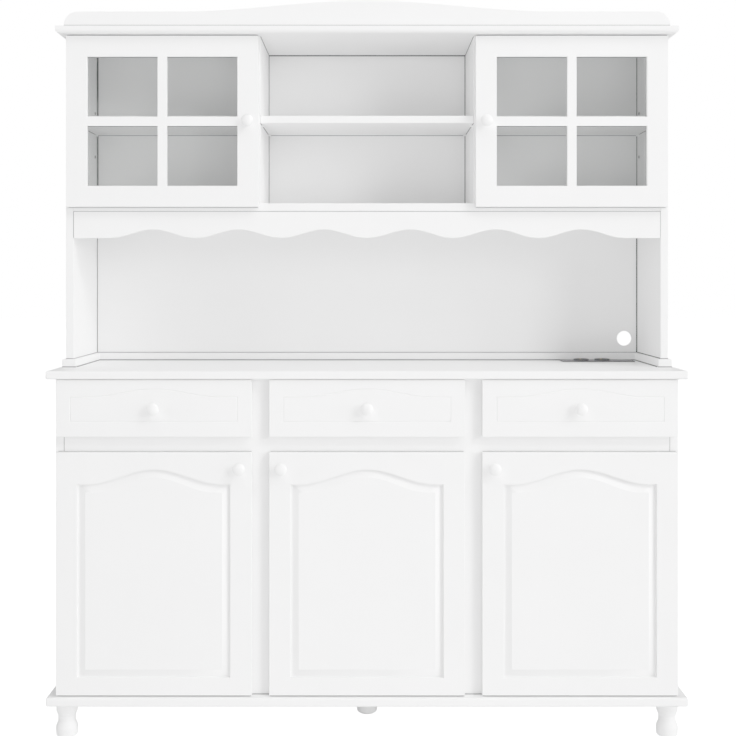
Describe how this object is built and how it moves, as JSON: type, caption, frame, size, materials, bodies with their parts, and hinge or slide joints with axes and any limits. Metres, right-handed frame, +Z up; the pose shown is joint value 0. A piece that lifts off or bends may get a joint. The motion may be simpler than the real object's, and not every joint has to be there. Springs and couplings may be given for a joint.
{
  "type": "buffet cabinet",
  "caption": "Painted buffet cabinet with a glazed hutch: arched raised-panel doors, drawers, turned feet, a scalloped open niche over the worktop and a curved crown board.",
  "frame": {"origin": "on the floor under the middle of the cabinet's overall width and depth, knobs included", "axes": "+X towards the cabinet's right end as seen from the front, +Y towards its back, +Z up; the front faces -Y"},
  "size_m": [1.542, 0.4162, 1.8011],
  "materials": {
    "white_paint": "satin white paint on board",
    "white_lining": "matt white lining inside the base",
    "white_knob": "satin white paint on turned wood",
    "hinge_steel": "nickel-plated steel",
    "clear_glass": "clear sheet glass",
    "black_plastic": "black satin plastic"
  },
  "bodies": {
    "cabinet": {"base_back": "white_lining", "base_board": "white_paint", "base_side_left": "white_paint", "base_side_right": "white_paint", "bay_partition_left": "white_paint", "bay_partition_right": "white_paint", "cornice": "white_paint", "crown_board": "white_paint", "door_1_hinge_lower": "hinge_steel", "door_1_hinge_upper": "hinge_steel", "door_2_hinge_lower": "hinge_steel", "door_2_hinge_upper": "hinge_steel", "door_3_hinge_lower": "hinge_steel", "door_3_hinge_upper": "hinge_steel", "face_frame": "white_paint", "foot_centre": "white_paint", "foot_front_left": "white_paint", "foot_front_right": "white_paint", "foot_rear_left": "white_paint", "foot_rear_right": "white_paint", "glazed_door_left_hinge_lower": "hinge_steel", "glazed_door_left_hinge_upper": "hinge_steel", "glazed_door_right_hinge_lower": "hinge_steel", "glazed_door_right_hinge_upper": "hinge_steel", "hutch_back": "white_paint", "hutch_bottom_board": "white_paint", "hutch_plinth": "white_paint", "hutch_side_left": "white_paint", "hutch_side_right": "white_paint", "niche_back": "white_paint", "outlet_unit": "black_plastic", "partition_left": "white_lining", "partition_right": "white_lining", "shelf_left": "white_paint", "shelf_middle": "white_paint", "shelf_right": "white_paint", "valance": "white_paint", "worktop": "white_paint"},
    "door_1": {"door_1_knob": "white_knob", "door_1_leaf": "white_paint"},
    "door_2": {"door_2_knob": "white_knob", "door_2_leaf": "white_paint"},
    "door_3": {"door_3_knob": "white_knob", "door_3_leaf": "white_paint"},
    "drawer_1": {"drawer_1_box": "white_lining", "drawer_1_front": "white_paint", "drawer_1_knob": "white_knob"},
    "drawer_2": {"drawer_2_box": "white_lining", "drawer_2_front": "white_paint", "drawer_2_knob": "white_knob"},
    "drawer_3": {"drawer_3_box": "white_lining", "drawer_3_front": "white_paint", "drawer_3_knob": "white_knob"},
    "glazed_door_left": {"glazed_door_left_frame": "white_paint", "glazed_door_left_glass": "clear_glass", "glazed_door_left_knob": "white_knob"},
    "glazed_door_right": {"glazed_door_right_frame": "white_paint", "glazed_door_right_glass": "clear_glass", "glazed_door_right_knob": "white_knob"}
  },
  "joints": [
    {"name": "drawer_1_slide", "type": "slide", "parent": "cabinet", "child": "drawer_1", "axis": [0, -1, 0], "range_m": [0, 0.18]},
    {"name": "drawer_2_slide", "type": "slide", "parent": "cabinet", "child": "drawer_2", "axis": [0, -1, 0], "range_m": [0, 0.18]},
    {"name": "drawer_3_slide", "type": "slide", "parent": "cabinet", "child": "drawer_3", "axis": [0, -1, 0], "range_m": [0, 0.18]},
    {"name": "door_1_hinge", "type": "hinge", "parent": "cabinet", "child": "door_1", "pos_m": [-0.747, -0.16585, 0.402], "axis": [0, 0, -1], "range_deg": [0, 95]},
    {"name": "door_2_hinge", "type": "hinge", "parent": "cabinet", "child": "door_2", "pos_m": [0.235, -0.16585, 0.402], "axis": [0, 0, 1], "range_deg": [0, 95]},
    {"name": "door_3_hinge", "type": "hinge", "parent": "cabinet", "child": "door_3", "pos_m": [0.747, -0.16585, 0.402], "axis": [0, 0, 1], "range_deg": [0, 95]},
    {"name": "glazed_door_left_hinge", "type": "hinge", "parent": "cabinet", "child": "glazed_door_left", "pos_m": [-0.749, -0.06385, 1.5018], "axis": [0, 0, -1], "range_deg": [0, 95]},
    {"name": "glazed_door_right_hinge", "type": "hinge", "parent": "cabinet", "child": "glazed_door_right", "pos_m": [0.749, -0.06385, 1.5018], "axis": [0, 0, 1], "range_deg": [0, 95]}
  ]
}
